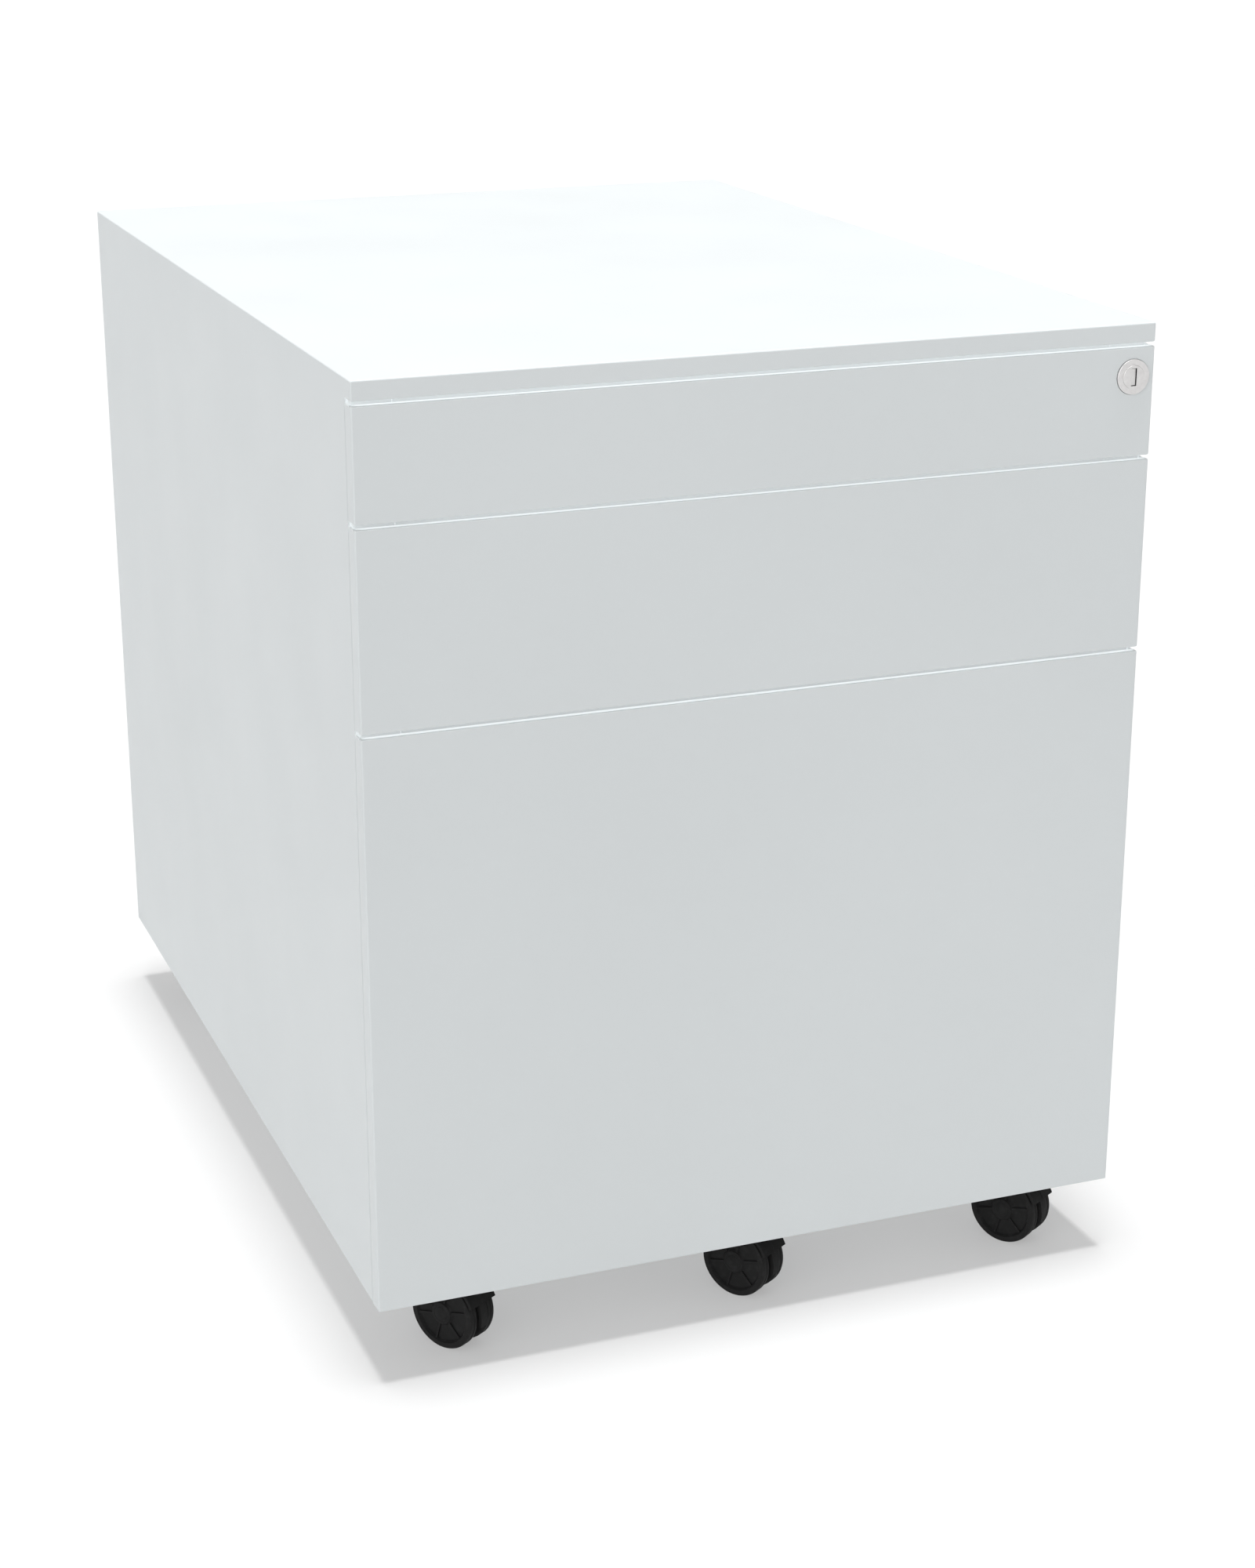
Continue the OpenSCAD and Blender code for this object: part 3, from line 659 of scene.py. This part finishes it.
def build_bumpers():
    """Small soft stops on the posts that the fronts close against."""
    post_lo, post_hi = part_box("front_post_r")
    middle = (post_lo.x + post_hi.x) / 2
    bumpers = bmesh.new()
    for front in ("pen_front", "box_front", "file_front"):
        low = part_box(front)[0].z
        z = max(low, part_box("base_plate")[1].z) + 14 * MM
        for side in (-1, 1):
            face = post_lo.y
            profile = [(face + 0.5 * MM, 0), (face + 0.5 * MM, 4 * MM), (face - 2 * MM, 4 * MM),
                       (face - 3.2 * MM, 3.4 * MM), (face - 4 * MM, 1.8 * MM), (face - 4.2 * MM, 0)]
            add_lathe(bumpers, "Y", (side * middle, z), profile, steps=24)
    solid_piece("front_bumpers", bumpers, "carcass", CASTOR_BLACK)


# ---------- runners ----------

def build_runner(node, body, opens):
    """Rolled channel with curled lips, punched holes and screws. opens is 1 if it opens to the side of
    the cabinet and -1 if it opens to the tray."""
    (x0, y0, z0), (x1, y1, z1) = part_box(node)
    side = -1 if x0 < 0 else 1
    inner, outer = (x0, x1) if side == 1 else (x1, x0)
    web, mouth = (inner, outer) if opens == 1 else (outer, inner)
    curl = RUNNER_LIP if opens == -1 else 0
    polygons = [
        rect("X", web, (y0, y1), (z0, z1)),
        rect("Z", z0, sorted((web, mouth)), (y0, y1)),
        rect("Z", z1, sorted((web, mouth)), (y0, y1)),
    ]
    if mouth > web:
        polygons[0] = list(reversed(polygons[0]))
    if curl:
        polygons += [rect("X", mouth, (y0, y1), z) for z in ((z0, z0 + curl), (z1 - curl, z1))]
    made = folded(node + "_channel", polygons, RUNNER_STEEL, RUNNER_BEND)
    middle = (z0 + z1) / 2
    holes = bmesh.new()
    for share in (0.12, 0.5, 0.82):
        y = y0 + (y1 - y0) * share
        add_prism(holes, "X", rounded_slot(y, middle, 9 * MM, 2.4 * MM), web - 3 * MM, web + 3 * MM)
        y += 26 * MM
        add_prism(holes, "X", rounded_slot(y, middle, 2.4 * MM, 2.4 * MM), web - 3 * MM, web + 3 * MM)
    cut(made, holes)
    screws = bmesh.new()
    inside = web + (RUNNER_STEEL if mouth > web else -RUNNER_STEEL)
    way = 1 if mouth > web else -1
    for share in (0.06, 0.44, 0.93):
        add_screw(screws, "X", (y0 + (y1 - y0) * share, middle), inside, way, 3.0 * MM)
    add_to(made, screws)
    piece(made, body, ZINC, node)


def build_runners():
    """All six runners: a fixed and a sliding member each, and a floating one on the file drawer's."""
    for side in "lr":
        for drawer in ("pen", "box", "file"):
            build_runner(f"{drawer}_runner_fixed_{side}", "carcass", -1)
            build_runner(f"{drawer}_runner_slide_{side}", f"{drawer}_drawer", 1)
        build_runner(f"file_runner_mid_{side}", f"file_float_{side}", -1)


# ---------- drawers ----------

def build_front(node, body):
    """Front folded from one sheet, with shallow returns above and below and deep ones at the sides."""
    (x0, y0, z0), (x1, y1, z1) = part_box(node)
    shallow = y0 + 3.5 * MM
    left = [[(x0, y0, z0), (x0, shallow, z0), (x0, y1, z0), (x0, y1, z1), (x0, shallow, z1), (x0, y0, z1)]]
    polygons = [
        rect("Y", y0, (x0, x1), (z0, z1)),
        rect("Z", z0, (x0, x1), (y0, shallow)),
        rect("Z", z1, (x0, x1), (y0, shallow)),
    ]
    made = folded(node + "_sheet", polygons + left + mirrored(left))
    if node == "pen_front":
        hole = bmesh.new()
        add_rod(hole, "Y", (LOCK_AXIS.x, LOCK_AXIS.z), (y0 - MM, y0 + 3 * MM), 9.2 * MM, 64)
        cut(made, hole)
    piece(made, body, COAT, node)


def build_tray(drawer, slot_h, beads):
    """Tray with a rolled rim, rows of slots for dividers, pressed ribs in its floor and a riveted catch."""
    node, body = drawer + "_tray", drawer + "_drawer"
    lo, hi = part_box(node)
    x1 = -lo.x
    x0, y0, y1, z0, z1 = lo.x, lo.y, hi.y, lo.z, hi.z
    rim_x, rim_y = (x0 + TRAY_HEM, x1 - TRAY_HEM), (y0 + TRAY_HEM, y1 - TRAY_HEM)
    lip_z = z1 - TRAY_LIP
    outer = [(x0, y0, z1), (x1, y0, z1), (x1, y1, z1), (x0, y1, z1)]
    inner = rect("Z", z1, rim_x, rim_y)
    lower = rect("Z", lip_z, rim_x, rim_y)
    polygons = [
        list(reversed(rect("Z", z0, (x0, x1), (y0, y1)))),
        rect("Y", y0, (x0, x1), (z0, z1)),
        rect("Y", y1, (x0, x1), (z0, z1)),
        rect("X", x0, (y0, y1), (z0, z1)),
        rect("X", x1, (y0, y1), (z0, z1)),
    ]
    for i in range(4):
        j = (i + 1) % 4
        polygons.append([outer[i], outer[j], inner[j], inner[i]])
        polygons.append([inner[i], inner[j], lower[j], lower[i]])
    made = folded(drawer + "_tray_box", polygons)

    slots = bmesh.new()
    pitch = 40 * MM
    for i in range(int((y1 - y0) / pitch) - 1):
        y = y0 + pitch * (i + 1)
        outline = rounded_slot(y, z0 + 7 * MM + slot_h / 2, 1.3 * MM, slot_h / 2)
        for x in (x0, x1):
            add_prism(slots, "X", outline, x - 3 * MM, x + 3 * MM)
    for x in (x0 + 14 * MM, x1 - 14 * MM):
        for y in (y0 + 14 * MM, y1 - 14 * MM):
            add_prism(slots, "Z", rounded_slot(x, y, 3 * MM, 3 * MM), z0 - 3 * MM, z0 + 3 * MM)
    cut(made, slots)

    extras = bmesh.new()
    for share in beads:
        y = y0 + (y1 - y0) * share
        add_bead(extras, (x0 + 30 * MM, x1 - 30 * MM), y, z0 + SHEET)
    add_catch(extras, node)
    add_to(made, extras)
    piece(made, body, LIGHTENED_COAT, node)


def add_catch(bm, node):
    """Adds the locking catch: the part of the CAD node that stands out past the tray's right side."""
    tray_x = -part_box(node)[0].x
    corners = [v.co for v in frame["nodes"][node].data.vertices if v.co.x > tray_x + 0.02 * MM]
    lo = Vector(min(c[i] for c in corners) for i in range(3))
    hi = Vector(max(c[i] for c in corners) for i in range(3))
    add_block(bm, lo, hi, 0.5 * MM)
    plate_lo = (lo.x, hi.y - 1.2 * MM, lo.z - 3 * MM)
    plate_hi = (lo.x + SHEET, hi.y + 12 * MM, hi.z + 3 * MM)
    add_block(bm, plate_lo, plate_hi, 0.3 * MM)
    for z in (lo.z - 0.5 * MM, hi.z + 0.5 * MM):
        add_screw(bm, "X", (hi.y + 7 * MM, z), lo.x + SHEET, 1, 1.8 * MM)


def build_insert():
    """Moulded pen tray: a long compartment across the front and three behind it, with round corners."""
    lo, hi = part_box("pen_insert")
    wall = 2 * MM
    cross_end = lo.y + 80 * MM
    lane = (hi.x - lo.x - wall) / 3
    body = bmesh.new()
    add_block(body, lo, hi, 1.2 * MM)
    bmesh.ops.recalc_face_normals(body, faces=body.faces)
    made = loose_object("pen_organiser", body)
    hollows = [((lo.x + wall, hi.x - wall), (lo.y + wall, cross_end - wall))]
    for i in range(3):
        hollows.append(((lo.x + i * lane + wall, lo.x + (i + 1) * lane), (cross_end, hi.y - wall)))
    cavities = bmesh.new()
    for x, y in hollows:
        add_block(cavities, (x[0], y[0], lo.z + wall), (x[1], y[1], hi.z + 20 * MM), 6 * MM, 4)
    for share in (1 / 3, 2 / 3):
        thumb = (lo.x + (hi.x - lo.x) * share, hi.z + 4 * MM)
        add_rod(cavities, "Y", thumb, (lo.y + 120 * MM, lo.y + 170 * MM), 9 * MM, 32)
    cut(made, cavities, crossing=True)
    soften(made, 0.5 * MM)
    apply_modifiers(made)
    piece(made, "pen_drawer", INSERT_GREY, "pen_insert")


def build_divider():
    """Cross divider with a foot, a folded upper edge and a finger hollow."""
    lo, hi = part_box("box_divider")
    top_y = lo.y + 5 * MM
    polygons = [
        rect("Y", lo.y, (lo.x, hi.x), (lo.z, hi.z)),
        rect("Z", lo.z, (lo.x, hi.x), (lo.y, hi.y)),
        rect("Z", hi.z, (lo.x, hi.x), (lo.y, top_y)),
    ]
    made = folded("divider_sheet", polygons)
    hollow = bmesh.new()
    add_prism(hollow, "Y", rounded_slot(0, hi.z, 28 * MM, 11 * MM, 8), lo.y - 2 * MM, lo.y + 9 * MM)
    for x in (lo.x + 20 * MM, 0, hi.x - 20 * MM):
        outline = rounded_slot(x, hi.y - 9 * MM, 6 * MM, 2 * MM)
        add_prism(hollow, "Z", outline, lo.z - 2 * MM, lo.z + 3 * MM)
    cut(made, hollow, crossing=True)
    piece(made, "box_drawer", LIGHTENED_COAT, "box_divider")


def build_file_rails():
    """Hanging-file rails, hooked over the rims of the file tray, with notches that hold the hangers."""
    for side, node in ((-1, "file_rail_l"), (1, "file_rail_r")):
        lo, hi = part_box("file_rail_r")
        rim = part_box("file_tray")[1].z
        bm = bmesh.new()
        add_block(bm, (lo.x, lo.y, lo.z), (lo.x + 2 * MM, hi.y, hi.z), 0.6 * MM, 3)
        bmesh.ops.recalc_face_normals(bm, faces=bm.faces)
        made = loose_object(node + "_blade", bm)
        holes = bmesh.new()
        count = 12
        for i in range(count):
            y = lo.y + (hi.y - lo.y) * (i + 0.5) / count
            add_prism(holes, "X", rounded_slot(y, lo.z + 5 * MM, 6 * MM, 1.8 * MM), lo.x - MM, lo.x + 4 * MM)
        cut(made, holes)
        hook = bmesh.new()
        add_block(hook, (lo.x + 0.5 * MM, lo.y, rim + 0.05 * MM), (hi.x, hi.y, rim + 1.5 * MM), 0.4 * MM)
        for y in (lo.y + 12 * MM, (lo.y + hi.y) / 2, hi.y - 12 * MM):
            add_screw(hook, "Z", (hi.x - 3.5 * MM, y), rim + 1.5 * MM, 1, 2.2 * MM)
        add_to(made, hook)
        if side == -1:
            made.data.transform(Matrix.Scale(-1, 4, (1, 0, 0)))
            made.data.flip_normals()
        piece(made, "file_drawer", ZINC, node)


# ---------- lock ----------

def build_lock():
    """Cylinder lock: round face with a fine chamfer, and a turning core with an upright key slot."""
    centre = (LOCK_AXIS.x, LOCK_AXIS.z)
    lo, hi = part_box("lock_housing")
    face_r = (hi.x - lo.x) / 2
    barrel_r = 8 * MM
    plug_r = 6 * MM
    play = 0.05 * MM
    nut_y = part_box("front_post_r")[0].y
    edge = 0.15 * MM
    housing = bmesh.new()
    ring = [
        (lo.y, plug_r + play), (lo.y, face_r - edge), (lo.y + edge, face_r), (nut_y, face_r),
        (nut_y, barrel_r), (hi.y, barrel_r), (hi.y, plug_r + play),
    ]
    add_lathe(housing, "Y", centre, ring, steps=96, closed=True)
    solid_piece("lock_face", housing, "carcass", NICKEL, "lock_housing")

    plug_lo, plug_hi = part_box("lock_plug")
    back = hi.y + MM
    core = bmesh.new()
    profile = [
        (plug_lo.y, 0), (plug_lo.y, plug_r - edge), (plug_lo.y + edge, plug_r), (back, plug_r),
        (back, 3.5 * MM), (plug_hi.y, 3.5 * MM), (plug_hi.y, 0),
    ]
    add_lathe(core, "Y", centre, profile, steps=64)
    bmesh.ops.recalc_face_normals(core, faces=core.faces)
    made = loose_object("lock_core_plug", core)
    slot_w, slot_h, slot_d = 3 * MM, 9 * MM, 10 * MM
    slot = bmesh.new()
    slot_lo = (centre[0] - slot_w / 2, plug_lo.y - MM, centre[1] - slot_h / 2)
    slot_hi = (centre[0] + slot_w / 2, plug_lo.y + slot_d, centre[1] + slot_h / 2)
    add_block(slot, slot_lo, slot_hi, 0.25 * MM)
    cut(made, slot)
    piece(made, "lock_core", NICKEL, "lock_plug")
    # Painted shade: the walls and floor of the key slot get the black castor plastic, so that the slot reads
    # dark.
    made.data.materials.append(CASTOR_BLACK["material"])
    for face in made.data.polygons:
        spot = face.center
        inside = abs(spot.x - centre[0]) < slot_w * 0.51 and abs(spot.z - centre[1]) < slot_h * 0.51
        if inside and plug_lo.y + 0.1 * MM < spot.y < plug_lo.y + slot_d + MM:
            face.material_index = 1

    shutter = bmesh.new()
    margin = 0.25 * MM
    depth = plug_lo.y + 0.6 * MM
    add_block(shutter, (slot_lo[0] + margin, depth, slot_lo[2] + margin),
              (slot_hi[0] - margin, depth + MM, slot_hi[2] - margin), 0.15 * MM)
    solid_piece("lock_shutter", shutter, "lock_core", NICKEL)


# ---------- castors ----------

def castor_place(name):
    """The castor's own frame, with X along the axle and its origin on the floor, its wheel radius and
    its trail."""
    left, right = joints[name + "_wheel_l_turn"], joints[name + "_wheel_r_turn"]
    middle = (Vector(left["pos_m"]) + Vector(right["pos_m"])) / 2
    axis = Vector(left["axis"])
    swivel = Vector(joints[name + "_swivel_turn"]["pos_m"])
    trail = (swivel.xy - middle.xy).length
    turn = math.atan2(axis.y, axis.x)
    place = Matrix.Translation((middle.x, middle.y, 0)) @ Matrix.Rotation(turn, 4, "Z")
    return place, middle.z, trail


def castor_fork(wheel_r, trail):
    """Web between the wheels, arched hood over them and the boss that turns on the stud."""
    bm = bmesh.new()
    web_half = 2.5 * MM
    outline = []
    arch_r = HOOD_IN + 0.5 * MM
    low = math.asin(5 * MM / arch_r)
    steps = 28
    for i in range(steps + 1):
        angle = -low + (math.pi + 2 * low) * i / steps
        outline.append((arch_r * math.cos(angle), wheel_r + arch_r * math.sin(angle)))
    hub_r = 9 * MM
    low = math.asin(5 * MM / hub_r)
    for i in range(steps // 2 + 1):
        angle = math.pi + low + (math.pi - 2 * low) * i / (steps // 2)
        outline.append((hub_r * math.cos(angle), wheel_r + hub_r * math.sin(angle)))
    add_prism(bm, "X", outline, -web_half, web_half)

    round_off = 0.6 * MM
    hood = [
        (-WHEEL_OUT, HOOD_IN), (-WHEEL_OUT, HOOD_OUT - round_off),
        (-WHEEL_OUT + 0.2 * MM, HOOD_OUT - 0.2 * MM),
        (-WHEEL_OUT + round_off, HOOD_OUT), (-1.6 * MM, HOOD_OUT), (-1.2 * MM, HOOD_OUT + 0.4 * MM),
        (1.2 * MM, HOOD_OUT + 0.4 * MM), (1.6 * MM, HOOD_OUT), (WHEEL_OUT - round_off, HOOD_OUT),
        (WHEEL_OUT - 0.2 * MM, HOOD_OUT - 0.2 * MM), (WHEEL_OUT, HOOD_OUT - round_off), (WHEEL_OUT, HOOD_IN),
    ]
    start = math.asin(9 * MM / HOOD_OUT)
    add_lathe(bm, "X", (0, wheel_r), hood, start, math.pi - 2 * start, 36, closed=True)

    bore = BOSS_TOP - 11 * MM
    foot = wheel_r + HOOD_IN - 0.5 * MM
    boss = [
        (foot, 0), (foot, BOSS_R + 1.2 * MM), (foot + 3 * MM, BOSS_R), (BOSS_TOP - 4 * MM, BOSS_R),
        (BOSS_TOP - 3.6 * MM, BOSS_R - 0.6 * MM), (BOSS_TOP - 3 * MM, BOSS_R - 0.6 * MM),
        (BOSS_TOP - 2.6 * MM, BOSS_R), (BOSS_TOP - 0.5 * MM, BOSS_R), (BOSS_TOP, BOSS_R - 0.6 * MM),
        (BOSS_TOP, STUD_BORE_R), (bore, STUD_BORE_R), (bore, 0),
    ]
    add_lathe(bm, "Z", (0, trail), boss, steps=40)
    return bm


def castor_wheel(wheel_r, side):
    """Wheel with a grooved tread, a dished face, ribs from hub to rim and a raised hub."""
    tread, out, inner, cap = wheel_r, WHEEL_OUT, WHEEL_HALF_GAP, WHEEL_OUT - HUB_CAP
    profile = [
        (inner, 2.55), (inner, 18.4), (inner + 0.35 * MM, 19.3), (inner + 1.2 * MM, 20.0),
        (inner + 2.6 * MM, 20.0), (inner + 2.8 * MM, 19.7), (inner + 3.7 * MM, 19.7),
        (inner + 3.9 * MM, 20.0),
        (out - 1.2 * MM, 20.0), (out - 0.35 * MM, 19.6), (out, 18.8), (out, 16.6), (out - 0.6 * MM, 16.2),
        (out - 1.5 * MM, 15.6), (out - 1.5 * MM, 7.2), (out - 0.9 * MM, 6.4), (out - 0.2 * MM, 6.0),
        (out, 5.4), (out, 4.0), (out + 0.4 * MM, 3.4), (out + 0.6 * MM, 0), (cap, 0), (cap, 2.55),
    ]
    profile = [(side * along, radius * MM * tread / (20 * MM)) for along, radius in profile]
    bm = bmesh.new()
    add_lathe(bm, "X", (0, 0), profile, steps=72, closed=True)
    ribs = 6
    for i in range(ribs):
        rib = bmesh.new()
        reach = sorted((side * (out - 2 * MM), side * (out - 0.7 * MM)))
        add_block(rib, (reach[0], -0.7 * MM, 6.2 * MM), (reach[1], 0.7 * MM, 16.2 * MM), 0.25 * MM)
        rib.transform(Matrix.Rotation(math.tau * (i + 0.25) / ribs, 4, "X"))
        mesh = bpy.data.meshes.new("rib")
        rib.to_mesh(mesh)
        rib.free()
        bm.from_mesh(mesh)
        bpy.data.meshes.remove(mesh)
    bm.transform(Matrix.Translation((0, 0, wheel_r)))
    return bm


def castor_axle(wheel_r):
    """Steel pin whose ends stay under the caps of the wheels."""
    bm = bmesh.new()
    reach = WHEEL_OUT - HUB_CAP - 0.3 * MM
    half = [(reach - 0.4 * MM, AXLE_R), (reach, AXLE_R - 0.4 * MM), (reach, 0)]
    profile = [(-along, radius) for along, radius in reversed(half)] + half
    add_lathe(bm, "X", (0, wheel_r), profile, steps=32)
    return bm


def build_castor(name):
    """One twin-wheel castor, built about its own axle and then put in its place."""
    place, wheel_r, trail = castor_place(name)
    swivel = name + "_swivel"
    parts = [
        ("fork", castor_fork(wheel_r, trail), swivel, CASTOR_BLACK),
        ("axle", castor_axle(wheel_r), swivel, ZINC),
        ("wheel_l", castor_wheel(wheel_r, -1), name + "_roll_l", WHEEL_BLACK),
        ("wheel_r", castor_wheel(wheel_r, 1), name + "_roll_r", WHEEL_BLACK),
    ]
    for part, bm, body, look in parts:
        bm.transform(place)
        solid_piece(f"{name}_{part}_shape", bm, body, look, f"{name}_{part}")


# ---------- camera, light and floor ----------

def direction(azimuth, elevation):
    """The way from the cabinet towards a camera or light: azimuth 0 is straight in front."""
    level = math.cos(elevation)
    return Vector((math.sin(azimuth) * level, -math.cos(azimuth) * level, math.sin(elevation)))


def build_camera():
    """Camera at the viewing angle of the photograph."""
    data = bpy.data.cameras.new("camera")
    data.lens = CAMERA_LENS
    data.sensor_width = SENSOR_LONG_SIDE
    camera = bpy.data.objects.new("camera", data)
    bpy.context.scene.collection.objects.link(camera)
    back = direction(CAMERA_AZIMUTH, CAMERA_ELEVATION)
    camera.location = CAMERA_AIM + back * CAMERA_DISTANCE
    camera.rotation_euler = (-back).to_track_quat("-Z", "Y").to_euler()
    bpy.context.scene.camera = camera


def add_sun(name, towards, angle, strength):
    """A distant light that stands in a direction and looks angle wide."""
    data = bpy.data.lights.new(name, "SUN")
    data.angle = angle
    data.energy = strength
    light = bpy.data.objects.new(name, data)
    bpy.context.scene.collection.objects.link(light)
    light.rotation_euler = towards.to_track_quat("Z", "Y").to_euler()


def build_light():
    """White surroundings, a nearly overhead light and a wide fill from the front left."""
    world = bpy.data.worlds.new("studio")
    world.use_nodes = True
    background = world.node_tree.nodes["Background"]
    background.inputs["Color"].default_value = (1, 1, 1, 1)
    background.inputs["Strength"].default_value = SKY_STRENGTH
    bpy.context.scene.world = world
    bpy.context.scene.view_settings.view_transform = "Standard"
    add_sun("overhead", Vector((0, 0, 1)), OVERHEAD_ANGLE, OVERHEAD_STRENGTH)
    add_sun("left_fill", direction(FILL_AZIMUTH, FILL_ELEVATION), FILL_ANGLE, FILL_STRENGTH)


def build_floor():
    """Plain pale floor, wide enough to fill the picture."""
    bm = bmesh.new()
    span = (-FLOOR_HALF, FLOOR_HALF)
    bm.faces.new([bm.verts.new(point) for point in rect("Z", 0, span, span)])
    floor = loose_object("floor", bm)
    floor.data.materials.append(plain_floor())


# ---------- the whole ----------

build_camera()
build_light()
build_floor()

build_wrapper()
build_back_panel()
build_front_posts()
build_bar_guides()
build_rear_posts()
build_rails()
build_bumpers()
build_runners()
for drawer in ("pen", "box", "file"):
    build_front(drawer + "_front", drawer + "_drawer")
build_tray("pen", 12 * MM, (0.62, 0.8))
build_tray("box", 30 * MM, (0.2, 0.4, 0.62, 0.82))
build_tray("file", 40 * MM, (0.15, 0.38, 0.62, 0.85))
build_insert()
build_divider()
build_file_rails()
build_lock()
for corner in ("fl", "fr", "rl", "rr", "c"):
    build_castor("castor_" + corner)

carry_over("base_plate", LIGHTENED_COAT)
for node in ("castor_mounts", "file_castor_bracket", "lock_cam", "lock_bar"):
    carry_over(node, ZINC)
